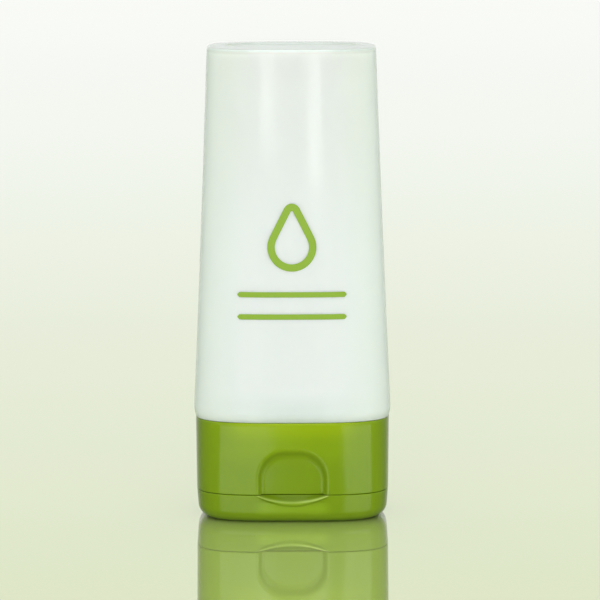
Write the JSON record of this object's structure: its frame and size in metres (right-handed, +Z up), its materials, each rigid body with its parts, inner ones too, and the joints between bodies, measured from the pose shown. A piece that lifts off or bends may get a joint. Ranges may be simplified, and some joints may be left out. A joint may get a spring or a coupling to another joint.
{
  "type": "travel squeeze tube",
  "caption": "Tapered oval squeeze bottle of milky plastic standing on its green push-on cap, whose lid flips open at the back to dispense.",
  "frame": {"origin": "middle of the lid's flat outer face, which the tube stands on", "axes": "+Z up along the bottle, -Y towards the front with the thumb recess, +Y towards the hinge"},
  "size_m": [0.0518, 0.033, 0.124],
  "materials": {
    "bottle": "smooth, milky and translucent, softly glossy",
    "cap": "polished moulded plastic, apple green"
  },
  "bodies": {
    "tube": {"bottle": "bottle", "cap_base": "cap", "hinge_film": "cap"},
    "lid": {"cap_lid": "cap"}
  },
  "joints": [
    {"name": "lid_hinge", "type": "hinge", "parent": "tube", "child": "lid", "pos_m": [0, 0.0161, 0.0076], "axis": [1, 0, 0], "range_deg": [0, 170], "deforming": ["hinge_film"]}
  ]
}
